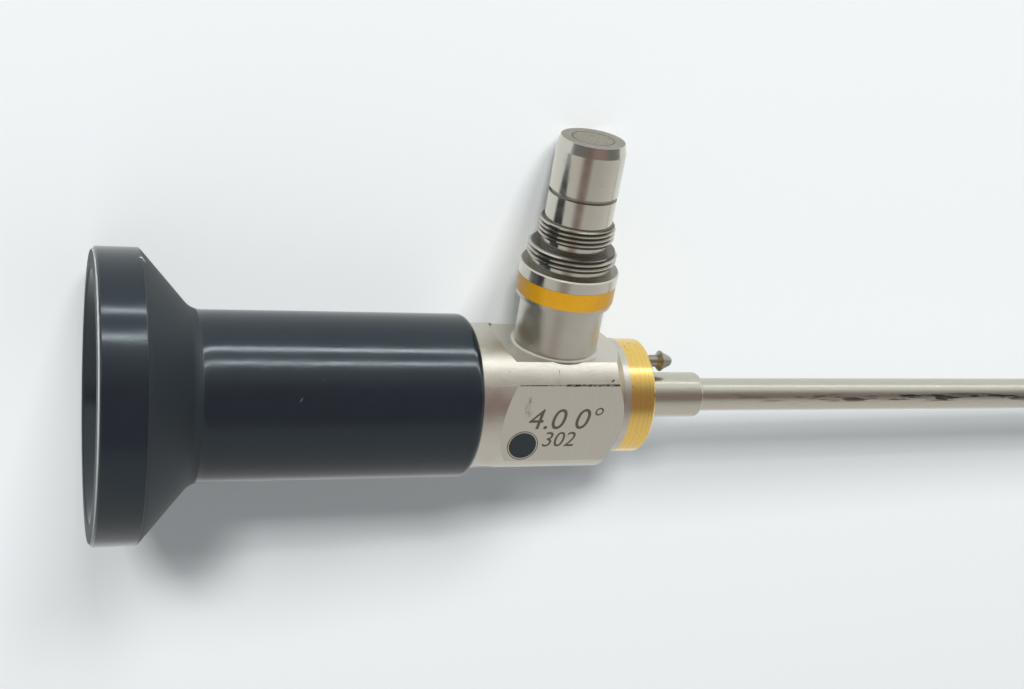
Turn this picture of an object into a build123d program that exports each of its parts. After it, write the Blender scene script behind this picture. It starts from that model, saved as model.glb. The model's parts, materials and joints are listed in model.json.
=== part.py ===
from build123d import *
import math
import os

# Rigid telescope with a rod-lens system, in millimetres.
# It is modelled in its own frame: X is the optical axis from the eyecup's face to the tip,
# Z is the light post, and -Y is the side whose flat carries the markings.
# The last step lays every piece down as the telescope rests: on the back edge of its
# eyecup rim, the end of the light post and the tip of the tube.

# Clearances
slip = 0.02            # round glued, soldered and screwed pieces, on the radius
lens_slip = 0.03       # round glass, on the radius
overshoot = 1.0        # how far a cutter runs past the surface that it cuts
round_share = 0.99     # most of a wall's thickness that the round on its edge may take

# Eyecup and grip, one turned piece
rim_radius = 16.0      # the 32 mm rim that camera couplers hold
rim_length = 5.2
rim_edge = 0.4         # chamfer on both edges of the rim
rim_lip = 2.15         # width of the flat ring round the funnel
flare_length = 5.3     # slope from the rim's back edge down to the grip
flare_root = 2.4       # hollow round where the slope meets the grip
grip_radius = 9.465
grip_length = 31.1
grip_end_round = 1.0
funnel_depth = 7.6
funnel_floor_radius = 6.4
socket_depth = 3.5     # how far the body's shoulder goes into the grip

# Body
body_radius = 8.46
body_length = 16.4     # from the grip's end to the front chamfer
front_chamfer = 1.4    # length of the chamfer down to the collar
collar_radius = 6.85
collar_length = 0.8
flat_distance = 6.87   # from the optical axis to each flat
flat_cutter_radius = 8.0
tail_radius = 6.63     # threaded tail inside the ocular housing
tail_length = 5.6
clamp_bore_radius = 4.5
clamp_length = 8.0
cavity_radius = 3.6    # room for the fibres behind and below the post
nose_radius = 3.6      # spigot that carries the index ring
nose_length = 2.4

# Index ring and locking pin
ring_radius = 6.8
ring_length = 3.2
ring_edge = 0.3
pin_circle_radius = 4.6
pin_neck_radius = 0.72
pin_neck_length = 2.0
pin_head_radius = 1.25
pin_head_edge = 0.12   # round on the widest place
pin_flare_length = 0.55
pin_cone_length = 1.5
pin_tip_radius = 0.6
pin_tip_chamfer = 0.25
pin_shank_length = 2.0

# Shaft
hub_radius = 2.73
hub_length = 8.4       # in front of the index ring
hub_tail_radius = 2.4  # spigot behind the shoulder that clamps the index ring
hub_tail_length = 6.2  # inside the body
hub_end_round = 0.5
tube_radius = 2.0
tube_wall = 0.15
tube_edge = 0.1
tube_seat_taper = 0.05 # the end inside the hub is ground thinner, so that solder runs in
solder_relief = 0.1    # length that the taper shows in front of the hub
working_length = 302.0
optics_tube_radius = 1.45
optics_tube_wall = 0.08

# Light post, with heights from the optical axis
post_offset = 10.4     # from the grip's end
base_radius = 4.87
base_top = 12.9
base_weld = 0.4        # weld bead round the foot
base_spigot_depth = 1.6
lip_radius = 5.5
lip_height = 0.55
colour_ring_radius = 5.65
colour_ring_height = 2.11
colour_ring_seat = 4.6
post_collar_radius = 5.7
post_collar_height = 1.4
post_collar_edge = 0.15
first_neck_radius = 4.7
first_neck_height = 0.74
first_thread_root = 4.75
first_thread_height = 1.7
second_neck_radius = 3.8
second_neck_height = 0.9
second_thread_root = 4.06
second_thread_height = 2.2
stem_radius = 3.85
stem_height = 2.95
groove_radius = 3.55
groove_height = 0.5
ferrule_radius = 3.9
ferrule_height = 4.72
ferrule_taper_height = 1.18
ferrule_face_radius = 3.63
ferrule_shank_radius = 3.0
ferrule_shank_length = 4.6
bundle_radius = 2.4
bundle_bore_radius = 2.6
screw_radius = 4.0     # threaded joint between base and connector
screw_length = 3.9

# Ocular housing and eyepiece
housing_radius = 7.6
housing_nose_radius = 5.9
housing_nose_length = 2.4
housing_seat_radius = 4.2
housing_seat_length = 0.8
window_radius = 5.0
window_thickness = 1.0
window_ring_inner = 4.2
window_ring_length = 0.9
seal_thickness = 0.3
sleeve_seal_thickness = 0.5
barrel_wall = 1.4
barrel_lip = 0.8
eye_lens_edge = 1.6
eye_lens_crown = 0.7
eye_spacer_length = 6.0
eye_spacer_wall = 0.8
crown_edge = 1.8
flint_edge = 1.6
cement_curve = 0.9
lock_ring_length = 2.5
lock_ring_inner = 3.8
stop_thickness = 0.4
stop_aperture = 1.6

# Rods and objective
rod_count = 10
rod_length = 28.6
rod_dome = 0.12
rod_land = 0.25        # flat ring on each rod end, where its spacers sit
spacer_wall = 0.2
objective_length = 7.0
objective_stop_thickness = 0.5
objective_stop_aperture = 0.4
front_lens_edge = 1.2
front_lens_hollow = 0.35
distal_window_thickness = 0.7

# Stations along the optical axis
flare_end = rim_length + flare_length
grip_end = flare_end + grip_length
shoulder = grip_end - socket_depth + sleeve_seal_thickness
chamfer_start = grip_end + body_length
collar_start = chamfer_start + front_chamfer
ring_start = collar_start + collar_length
ring_end = ring_start + ring_length
hub_start = ring_start - hub_tail_length + nose_length
hub_end = ring_end + hub_length
tip = ring_end + working_length
post_station = grip_end + post_offset
tail_start = shoulder - tail_length
housing_start = funnel_depth + slip
housing_step = housing_start + housing_nose_length
window_start = housing_start + window_ring_length
window_seat = window_start + window_thickness + seal_thickness
barrel_start = window_seat + housing_seat_length
cavity_start = tail_start + clamp_length
cavity_end = hub_start
optics_end = tip - distal_window_thickness

# Heights along the light post
lip_top = base_top + lip_height
colour_ring_top = lip_top + colour_ring_height
post_collar_top = colour_ring_top + post_collar_height
first_neck_top = post_collar_top + first_neck_height
first_thread_top = first_neck_top + first_thread_height
second_neck_top = first_thread_top + second_neck_height
second_thread_top = second_neck_top + second_thread_height
stem_top = second_thread_top + stem_height
groove_top = stem_top + groove_height
ferrule_top = groove_top + ferrule_height
post_top = ferrule_top + ferrule_taper_height

# Radii that follow from the pieces they fit
housing_bore = tail_radius + slip
barrel_radius = housing_bore - slip
barrel_bore = barrel_radius - barrel_wall
eye_glass_radius = barrel_bore - lens_slip
tube_bore = tube_radius - tube_wall
fibre_outer = tube_bore - slip
fibre_inner = optics_tube_radius + slip
optics_bore = optics_tube_radius - optics_tube_wall
rod_radius = optics_bore - lens_slip


def section(path, upright=False):
    """Closed face through a path of (along, out) points. An entry of four numbers is an arc:
    a point on it, then its end."""
    def place(along, out):
        return (out, 0, along) if upright else (along, out, 0)

    edges = []
    here = path[0]
    for step in path[1:] + path[:1]:
        end = step[-2:]
        if len(step) == 4:
            edges.append(ThreePointArc(place(*here), place(*step[:2]), place(*end)))
        else:
            edges.append(Line(place(*here), place(*end)))
        here = end
    return make_face(edges).face()


def nearest(face, along, out):
    """The face's corner at a point of its path."""
    return face.vertices().sort_by_distance((along, out, 0))[0]


def turned(path):
    """A piece turned about the optical axis."""
    return revolve(section(path), axis=Axis.X)


def on_post(path):
    """A piece turned about the light post."""
    return Pos(post_station, 0, 0) * revolve(section(path, upright=True), axis=Axis.Z)


def ring(start, end, inner, outer):
    """A plain ring or tube about the optical axis."""
    return turned([(start, inner), (start, outer), (end, outer), (end, inner)])


def disc(start, end, radius):
    """A plain disc about the optical axis."""
    return turned([(start, 0), (start, radius), (end, radius), (end, 0)])


def dome(station, height, radius):
    """Middle point of a spherical lens face that rises by height from an edge at a station."""
    sphere = (radius ** 2 + height ** 2) / (2 * abs(height))
    half_sag = sphere - math.sqrt(sphere ** 2 - (radius / 2) ** 2)
    return (station + height - math.copysign(half_sag, height), radius / 2)


def outwards(station, height, radius):
    """Path of a lens face from its middle to its edge."""
    return [(station + height, 0), (*dome(station, height, radius), station, radius)]


def inwards(station, height, radius):
    """Path of a lens face from its edge to its middle."""
    return [(station, radius), (*dome(station, height, radius), station + height, 0)]


def eyecup():
    face = section([
        (0, rim_radius - rim_lip),
        (0, rim_radius - rim_edge),
        (rim_edge, rim_radius),
        (rim_length - rim_edge, rim_radius),
        (rim_length, rim_radius - rim_edge),
        (flare_end, grip_radius),
        (grip_end, grip_radius),
        (grip_end, body_radius + slip),
        (grip_end - socket_depth, body_radius + slip),
        (grip_end - socket_depth, housing_radius + slip),
        (housing_step, housing_radius + slip),
        (housing_step, housing_nose_radius + slip),
        (funnel_depth, housing_nose_radius + slip),
        (funnel_depth, funnel_floor_radius),
    ])
    face = face.fillet_2d(flare_root, [nearest(face, flare_end, grip_radius)])
    end_round = min(grip_end_round, round_share * (grip_radius - body_radius - slip))
    face = face.fillet_2d(end_round, [nearest(face, grip_end, grip_radius)])
    return revolve(face, axis=Axis.X)


def flat_cutter(turn):
    """A milling cutter's path over one flat: round behind the post, open towards the tip."""
    run_out = ring_start - post_station
    plan = Circle(flat_cutter_radius)
    plan += Pos(run_out / 2, 0) * Rectangle(run_out, 2 * flat_cutter_radius)
    cutter = Pos(post_station, 0, flat_distance) * extrude(plan, body_radius - flat_distance + overshoot)
    return cutter.rotate(Axis.X, turn)


def body():
    solid = turned([
        (tail_start, clamp_bore_radius),
        (tail_start, tail_radius),
        (shoulder, tail_radius),
        (shoulder, body_radius),
        (chamfer_start, body_radius),
        (collar_start, collar_radius),
        (ring_start, collar_radius),
        (ring_start, nose_radius),
        (ring_start + nose_length, nose_radius),
        (ring_start + nose_length, hub_tail_radius + slip),
        (cavity_end, hub_tail_radius + slip),
        (cavity_end, cavity_radius),
        (cavity_start, cavity_radius),
        (cavity_start, clamp_bore_radius),
    ])
    for turn in (0, 90, -90):
        solid -= flat_cutter(turn)
    hole_depth = flat_distance + overshoot
    post_hole = Cylinder(cavity_radius, hole_depth, align=(Align.CENTER, Align.CENTER, Align.MIN))
    return solid - Pos(post_station, 0, 0) * post_hole


def post_base():
    spigot = cavity_radius - slip
    spigot_foot = flat_distance - base_spigot_depth
    weld_middle = base_weld * (1 - math.sqrt(0.5))
    return on_post([
        (spigot_foot, bundle_bore_radius),
        (spigot_foot, spigot),
        (flat_distance, spigot),
        (flat_distance, base_radius + base_weld),
        (flat_distance + weld_middle, base_radius + weld_middle, flat_distance + base_weld, base_radius),
        (base_top, base_radius),
        (base_top, lip_radius),
        (lip_top, lip_radius),
        (lip_top, screw_radius + slip),
        (lip_top - screw_length, screw_radius + slip),
        (lip_top - screw_length, bundle_bore_radius),
    ])


def colour_ring():
    return on_post([
        (lip_top, colour_ring_seat + slip),
        (lip_top, colour_ring_radius),
        (colour_ring_top, colour_ring_radius),
        (colour_ring_top, colour_ring_seat + slip),
    ])


def post_connector():
    """Collar, two threaded steps at their root diameter, and the stem below the groove."""
    shank_foot = stem_top - ferrule_shank_length
    return on_post([
        (lip_top - screw_length, bundle_bore_radius),
        (lip_top - screw_length, screw_radius),
        (lip_top, screw_radius),
        (lip_top, colour_ring_seat),
        (colour_ring_top, colour_ring_seat),
        (colour_ring_top, post_collar_radius),
        (post_collar_top - post_collar_edge, post_collar_radius),
        (post_collar_top, post_collar_radius - post_collar_edge),
        (post_collar_top, first_neck_radius),
        (first_neck_top, first_neck_radius),
        (first_neck_top, first_thread_root),
        (first_thread_top, first_thread_root),
        (first_thread_top, second_neck_radius),
        (second_neck_top, second_neck_radius),
        (second_neck_top, second_thread_root),
        (second_thread_top, second_thread_root),
        (second_thread_top, stem_radius),
        (stem_top, stem_radius),
        (stem_top, ferrule_shank_radius + slip),
        (shank_foot, ferrule_shank_radius + slip),
        (shank_foot, bundle_bore_radius),
    ])


def light_guide_ferrule():
    return on_post([
        (stem_top - ferrule_shank_length, bundle_radius + slip),
        (stem_top - ferrule_shank_length, ferrule_shank_radius),
        (stem_top, ferrule_shank_radius),
        (stem_top, groove_radius),
        (groove_top, groove_radius),
        (groove_top, ferrule_radius),
        (ferrule_top, ferrule_radius),
        (post_top, ferrule_face_radius),
        (post_top, bundle_radius + slip),
    ])


def light_guide():
    """The fibre bundle: down the post, round a bend in the body, and a ring along the shaft."""
    bend = cavity_end - post_station
    down = Pos(post_station, 0, bend) * Cylinder(
        bundle_radius, post_top - bend, align=(Align.CENTER, Align.CENTER, Align.MIN))
    disc_at_bend = Plane(origin=(post_station, 0, bend), z_dir=(0, 0, -1)) * Circle(bundle_radius)
    curve = revolve(disc_at_bend, axis=Axis((cavity_end, 0, bend), (0, -1, 0)), revolution_arc=90)
    along = disc(cavity_end - bundle_radius, tip, fibre_outer)
    core = disc(tail_start, tip + overshoot, fibre_inner)
    return down + curve + along - core


def index_ring():
    solid = turned([
        (ring_start, nose_radius + slip),
        (ring_start, ring_radius),
        (ring_end - ring_edge, ring_radius),
        (ring_end, ring_radius - ring_edge),
        (ring_end, hub_tail_radius + slip),
        (ring_start + nose_length, hub_tail_radius + slip),
        (ring_start + nose_length, nose_radius + slip),
    ])
    hole_depth = pin_shank_length + overshoot
    hole = Cylinder(pin_neck_radius + slip, hole_depth, align=(Align.CENTER, Align.CENTER, Align.MIN))
    return solid - Pos(ring_end - pin_shank_length, 0, pin_circle_radius) * Rot(0, 90, 0) * hole


def locking_pin():
    """A barbed stud: shank in the ring, thin neck, head with a short flare and a long cone."""
    flare_start = ring_end + pin_neck_length
    head = flare_start + pin_flare_length
    pin_end = head + pin_cone_length
    solid = turned([
        (ring_end - pin_shank_length, 0),
        (ring_end - pin_shank_length, pin_neck_radius),
        (flare_start, pin_neck_radius),
        (head - pin_head_edge, pin_head_radius - pin_head_edge),
        (head, pin_head_radius, head + pin_head_edge, pin_head_radius - pin_head_edge),
        (pin_end - pin_tip_chamfer, pin_tip_radius),
        (pin_end, pin_tip_radius - pin_tip_chamfer),
        (pin_end, 0),
    ])
    return Pos(0, 0, pin_circle_radius) * solid


def shaft_hub():
    """Sleeve round the start of the tube. Its shoulder clamps the index ring against the body."""
    face = section([
        (hub_start, tube_radius + slip),
        (hub_start, hub_tail_radius),
        (ring_end, hub_tail_radius),
        (ring_end, hub_radius),
        (hub_end, hub_radius),
        (hub_end, tube_radius + slip),
    ])
    end_round = min(hub_end_round, round_share * (hub_radius - tube_radius - slip))
    face = face.fillet_2d(end_round, [nearest(face, hub_end, hub_radius)])
    return revolve(face, axis=Axis.X)


def outer_tube():
    return turned([
        (hub_start, tube_bore),
        (hub_start, tube_radius - tube_seat_taper),
        (hub_end + solder_relief, tube_radius),
        (tip - tube_edge, tube_radius),
        (tip, tube_radius - tube_edge),
        (tip, tube_bore),
    ])


def ocular_housing():
    return turned([
        (housing_start, window_radius + slip),
        (housing_start, housing_nose_radius),
        (housing_step, housing_nose_radius),
        (housing_step, housing_radius),
        (shoulder, housing_radius),
        (shoulder, housing_bore),
        (barrel_start, housing_bore),
        (barrel_start, housing_seat_radius),
        (window_seat, housing_seat_radius),
        (window_seat, window_radius + slip),
    ])


def eyepiece_pieces():
    """Window, its ring and seal, and the lens stack with what holds it."""
    barrel_end = tail_start
    lip_end = barrel_start + barrel_lip
    lip_inner = housing_seat_radius
    lens_back = lip_end + eye_lens_edge
    spacer_end = lens_back + eye_spacer_length
    cement = spacer_end + crown_edge
    flint_end = cement + flint_edge
    glass = eye_glass_radius
    seat = glass - eye_spacer_wall
    return {
        "eyepiece_window": disc(window_start, window_start + window_thickness, window_radius),
        "window_ring": ring(housing_start, window_start, window_ring_inner, window_radius),
        "window_seal": ring(window_seat - seal_thickness, window_seat, housing_seat_radius, window_radius),
        "sleeve_seal": ring(grip_end - socket_depth, shoulder, housing_radius + slip, body_radius),
        "ocular_housing": ocular_housing(),
        "ocular_barrel": turned([
            (barrel_start, lip_inner),
            (barrel_start, barrel_radius),
            (barrel_end, barrel_radius),
            (barrel_end, barrel_bore),
            (lip_end, barrel_bore),
            (lip_end, lip_inner),
        ]),
        "eye_lens": turned([
            *outwards(lip_end, -eye_lens_crown, lip_inner - slip),
            (lip_end, glass),
            (lens_back, glass),
            *inwards(lens_back, eye_lens_crown, seat),
        ]),
        "eye_lens_spacer": ring(lens_back, spacer_end, seat + slip, glass),
        "doublet_crown": turned([
            *outwards(spacer_end, -eye_lens_crown, seat),
            (spacer_end, glass),
            *inwards(cement, cement_curve, glass),
        ]),
        "doublet_flint": turned([
            *outwards(cement, cement_curve, glass),
            (flint_end, glass),
            (flint_end, 0),
        ]),
        "lens_lock_ring": ring(flint_end, flint_end + lock_ring_length, lock_ring_inner, glass),
        "field_stop": ring(barrel_end - stop_thickness, barrel_end, stop_aperture, glass),
    }


def rod(start):
    """A glass rod with a slightly domed end at each side."""
    end = start + rod_length
    land = rod_radius - rod_land
    return turned([
        *outwards(start, -rod_dome, land),
        (start, rod_radius),
        (end, rod_radius),
        *inwards(end, rod_dome, land),
    ])


def relay_pieces():
    """Rods and spacers in turn, from the tube's back end to the objective."""
    chain = optics_end - objective_length - tail_start
    spacer_length = (chain - rod_count * rod_length) / (rod_count + 1)
    spacer_bore = rod_radius - spacer_wall
    pieces = {}
    station = tail_start
    for number in range(1, rod_count + 2):
        spacer_end = station + spacer_length
        pieces[f"rod_spacer_{number:02d}"] = ring(station, spacer_end, spacer_bore, rod_radius)
        station = spacer_end
        if number <= rod_count:
            pieces[f"rod_lens_{number:02d}"] = rod(station)
            station += rod_length
    return pieces


def objective_pieces():
    rear_start = optics_end - objective_length
    front_start = optics_end - front_lens_edge
    stop_start = front_start - objective_stop_thickness
    land = rod_radius - rod_land
    return {
        "objective_rear_lens": turned([
            *outwards(rear_start, -rod_dome, land),
            (rear_start, rod_radius),
            (stop_start, rod_radius),
            (stop_start, 0),
        ]),
        "objective_stop": ring(stop_start, front_start, objective_stop_aperture, rod_radius),
        "objective_front_lens": turned([
            *outwards(front_start, front_lens_hollow, land),
            (front_start, rod_radius),
            (optics_end, rod_radius),
            (optics_end, 0),
        ]),
        "distal_window": disc(optics_end, tip, optics_tube_radius),
    }


def all_pieces():
    return {
        "eyecup": eyecup(),
        **eyepiece_pieces(),
        "body": body(),
        "tube_clamp": ring(tail_start, cavity_start, optics_tube_radius + slip, clamp_bore_radius - slip),
        "post_base": post_base(),
        "colour_ring": colour_ring(),
        "post_connector": post_connector(),
        "light_guide_ferrule": light_guide_ferrule(),
        "light_guide": light_guide(),
        "index_ring": index_ring(),
        "locking_pin": locking_pin(),
        "shaft_hub": shaft_hub(),
        "outer_tube": outer_tube(),
        "optics_tube": ring(tail_start, optics_end, optics_bore, optics_tube_radius),
        **relay_pieces(),
        **objective_pieces(),
    }


def rest_plane():
    """How the telescope lies on a floor: the plane whose X is the optical axis and whose Z is
    the light post. The axis slopes down to the tip, and the post dips until it touches."""
    rim_contact = (rim_length - rim_edge, rim_radius)
    tip_contact = (tip - tube_edge, tube_radius)
    slope = math.atan2(rim_contact[1] - tip_contact[1], tip_contact[0] - rim_contact[0])
    axis_height = rim_contact[1] * math.cos(slope) + rim_contact[0] * math.sin(slope)
    post_height = axis_height - post_station * math.sin(slope)
    dip = min(
        math.asin(post_height / math.hypot(height, radius)) - math.atan2(radius, height)
        for height, radius in ((post_top, ferrule_face_radius), (ferrule_top, ferrule_radius))
    )
    roll = math.asin(math.sin(dip) / math.cos(slope))
    axis = (math.cos(slope), 0, -math.sin(slope))
    post = (-math.sin(roll) * math.sin(slope), math.cos(roll), -math.sin(roll) * math.cos(slope))
    return Plane(origin=(0, 0, axis_height), x_dir=axis, z_dir=post)


def lay_down(pieces):
    """Every piece at rest, with the origin under the middle of the whole telescope."""
    resting = rest_plane().location
    placed = {name: resting * solid for name, solid in pieces.items()}
    box = Compound(children=[Compound(solid.solids()) for solid in placed.values()]).bounding_box()
    centre = Pos(-(box.min.X + box.max.X) / 2, -(box.min.Y + box.max.Y) / 2, -box.min.Z)
    return centre * resting, {name: centre * solid for name, solid in placed.items()}


placement, telescope = lay_down(all_pieces())
os.makedirs("parts", exist_ok=True)
for name, solid in telescope.items():
    export_step(Compound(solid.solids()), f"parts/{name}.step")
print("pieces:", len(telescope))
print("eyecup face centre:", placement.position, "turned by", placement.orientation)
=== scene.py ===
# %% [markdown]
# # A rigid telescope on a pale table
#
# The object is a rigid telescope: a black eyecup and grip, a blasted steel body with milled flats, a
# light post with two threaded steps and a yellow ring, a gold-plated index ring with a barbed stud, a
# steel hub and a long thin tube. The CAD model gives every piece its true shape and place, in metres.
# This script adds what a CAD model leaves out: thread crests, marks on the flat, finishes and light.

# %% Load the CAD model and keep its box
import json
import math

import bmesh
import bpy
from mathutils import Euler, Matrix, Vector


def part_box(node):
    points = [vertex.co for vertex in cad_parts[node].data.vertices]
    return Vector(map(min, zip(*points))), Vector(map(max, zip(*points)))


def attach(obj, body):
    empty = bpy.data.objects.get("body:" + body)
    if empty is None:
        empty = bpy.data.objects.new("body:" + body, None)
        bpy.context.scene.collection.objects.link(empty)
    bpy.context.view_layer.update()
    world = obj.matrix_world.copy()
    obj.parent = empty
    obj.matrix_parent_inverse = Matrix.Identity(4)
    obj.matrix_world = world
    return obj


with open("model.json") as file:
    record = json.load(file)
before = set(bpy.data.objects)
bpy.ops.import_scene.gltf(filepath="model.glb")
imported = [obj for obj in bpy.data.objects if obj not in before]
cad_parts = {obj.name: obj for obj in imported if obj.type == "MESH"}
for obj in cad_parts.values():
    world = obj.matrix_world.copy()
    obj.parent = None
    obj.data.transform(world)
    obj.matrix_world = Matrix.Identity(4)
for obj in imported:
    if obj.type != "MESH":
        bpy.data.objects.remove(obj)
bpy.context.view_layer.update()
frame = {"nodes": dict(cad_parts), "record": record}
nodes = frame["nodes"]
mm = 0.001

# %% [markdown]
# ## The telescope's own directions
#
# The telescope lies on its rim, its post and its tip, so none of its directions follows X, Y or Z. A
# disc looks the same from both ends, so the middle of its box is a point of its axis: two glass discs
# give the optical axis, and the yellow ring gives the post. With the face of the eyecup as the zero,
# every size in this script can then be a plain length in millimetres: along the axis, or up the post.

# %% Find the axis, the post and the zero from the CAD pieces
def middle(node):
    low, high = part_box(node)
    return (Vector(low) + Vector(high)) / 2


def reach(node, start, direction):
    """Lowest and highest place of a node along a direction, in millimetres from a start."""
    places = [(vertex.co - start).dot(direction) / mm for vertex in nodes[node].data.vertices]
    return min(places), max(places)


eye_glass = middle("eyepiece_window")
axis = (middle("distal_window") - eye_glass).normalized()
ring_middle = middle("colour_ring")
post = ring_middle - eye_glass
post = (post - axis * post.dot(axis)).normalized()
side = post.cross(axis)
face = eye_glass + axis * reach("eyecup", eye_glass, axis)[0] * mm
telescope = Matrix.Translation(face) @ Matrix((axis, side, post)).transposed().to_4x4()
post_station = (ring_middle - face).dot(axis) / mm
ring_top = reach("colour_ring", face, post)[1]
post_top = reach("light_guide_ferrule", face, post)[1]
ring_front = reach("index_ring", face, axis)[1]
print("axis", axis, "post", post)
print("post station", round(post_station, 2), "post top", round(post_top, 2))


# %% [markdown]
# ## Four small helpers
#
# Colours are written as sRGB hex values, as a paint chart gives them, and Blender calculates with
# linear light, so one function converts them. One function adds a node with its settings and its
# links. The third starts a finish: its Mapping node turns Object coordinates back into the
# telescope's own millimetres, so that a lathe line or a scratch is placed as on a drawing. The
# fourth ends a finish: it links the colour, the roughness and the fine relief to the shader.

# %% Colours, nodes, and a finish's start and end
def linear(hex_colour):
    """A hex colour as linear red, green, blue and an alpha of one."""
    parts = [int(hex_colour[i:i + 2], 16) / 255 for i in (1, 3, 5)]
    return [p / 12.92 if p <= 0.04045 else ((p + 0.055) / 1.055) ** 2.4 for p in parts] + [1]


def add(tree, kind, inputs=None, **settings):
    """Add a node. Inputs are values or sockets to link from, under the input's name or number."""
    node = tree.nodes.new(kind)
    for name, value in settings.items():
        setattr(node, name, value)
    for name, value in (inputs or {}).items():
        if isinstance(value, bpy.types.NodeSocket):
            tree.links.new(value, node.inputs[name])
        else:
            node.inputs[name].default_value = value
    return node


def start_finish(name):
    """A material with its shader, and the place on the telescope in millimetres."""
    material = bpy.data.materials.new(name)
    material.use_nodes = True
    tree = material.node_tree
    shader = tree.nodes["Principled BSDF"]
    here = add(tree, "ShaderNodeTexCoord").outputs["Object"]
    place = add(tree, "ShaderNodeMapping", {
        "Vector": here,
        "Location": telescope.translation,
        "Rotation": telescope.to_euler(),
        "Scale": (mm, mm, mm),
    }, vector_type="TEXTURE").outputs["Vector"]
    return material, tree, shader, place


def end_finish(tree, shader, colour, rough, height, strength, depth):
    """Link colour, roughness and a relief whose depth is in millimetres."""
    bump = add(tree, "ShaderNodeBump", {"Height": height, "Strength": strength, "Distance": depth * mm})
    tree.links.new(colour, shader.inputs["Base Color"])
    tree.links.new(rough, shader.inputs["Roughness"])
    tree.links.new(bump.outputs["Normal"], shader.inputs["Normal"])


print("yellow as linear light:", [round(v, 3) for v in linear("#bb8914")])


# %% [markdown]
# ## Marks of use
#
# A scratch is a thin straight line and a stain is a soft patch. Both are placed by their two ends in
# telescope millimetres: each point of the surface finds its distance to the line between the ends,
# and the mark fades out where that distance reaches half its width. Marks are then joined, weakened
# or kept between two limits.

# %% A mark between two places, and ways to combine marks
def mark(tree, place, start, end, width, soft=0.5):
    """One where the surface is on the line from start to end, zero beyond half its width."""
    start, end = Vector(start), Vector(end)
    along = end - start
    from_start = add(tree, "ShaderNodeVectorMath", {
        0: place, 1: start,
    }, operation="SUBTRACT").outputs["Vector"]
    share = add(tree, "ShaderNodeVectorMath", {
        0: from_start, 1: along / along.length_squared,
    }, operation="DOT_PRODUCT").outputs["Value"]
    share = add(tree, "ShaderNodeClamp", {"Value": share}).outputs["Result"]
    nearest = add(tree, "ShaderNodeVectorMath", {
        0: along, "Scale": share,
    }, operation="SCALE").outputs["Vector"]
    distance = add(tree, "ShaderNodeVectorMath", {
        0: from_start, 1: nearest,
    }, operation="DISTANCE").outputs["Value"]
    return add(tree, "ShaderNodeMapRange", {
        "Value": distance, "From Min": width / 2, "From Max": width / 2 * (1 - soft),
    }).outputs["Result"]


def strongest(tree, masks):
    """The strongest of several marks at each point."""
    result = masks[0]
    for mask in masks[1:]:
        result = add(tree, "ShaderNodeMath", {0: result, 1: mask}, operation="MAXIMUM").outputs[0]
    return result


def both(tree, mask, other):
    """Where two marks meet, or a mark made weaker by a number."""
    return add(tree, "ShaderNodeMath", {0: mask, 1: other}, operation="MULTIPLY").outputs[0]


def between(tree, value, low, high, fade):
    """One where a value lies between two limits, with a fade inside each."""
    above, below = (add(tree, "ShaderNodeMapRange", {
        "Value": value, "From Min": limit, "From Max": full,
    }).outputs["Result"] for limit, full in ((low, low + fade), (high, high - fade)))
    return both(tree, above, below)


print("mark helpers:", *(helper.__name__ for helper in (mark, strongest, both, between)))


# %% [markdown]
# ## Satin black plastic
#
# The eyecup and grip are turned from one bar of black high-temperature plastic. Turning leaves fine
# lines round the axis, about 0.1 mm apart on the real piece and drawn 0.3 mm apart here so that they
# show, and years of cleaning leave shallow dents. The plastic is nearly black with a cool sheen, and
# its IOR is 1.5. The front and the cone behind the rim are dull. The front edge of the rim is painted
# pale, both for its wear and as a painted highlight along that edge, and the sleeve has two faint
# scratches.

# %% The eyecup's finish
cone_start = 4.7             # just before the rim's back edge
cone_end = 11.0
rim_edge = (15.6, 15.72)     # from the axis: the pale edge, wear and painted highlight, fades in between


def eyecup_wear(tree, place):
    """Two faint scratches on the sleeve and a nick in the rim's back edge."""
    return strongest(tree, [
        both(tree, mark(tree, place, (23.3, -7.5, 6.0), (23.8, -7.3, 5.6), 0.09), 0.5),
        both(tree, mark(tree, place, (20.9, -8.6, 3.9), (21.3, -8.4, 4.5), 0.07), 0.3),
        both(tree, mark(tree, place, (4.7, 0.5, 16.0), (5.2, 0.1, 15.8), 0.5), 0.5),
    ])


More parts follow.
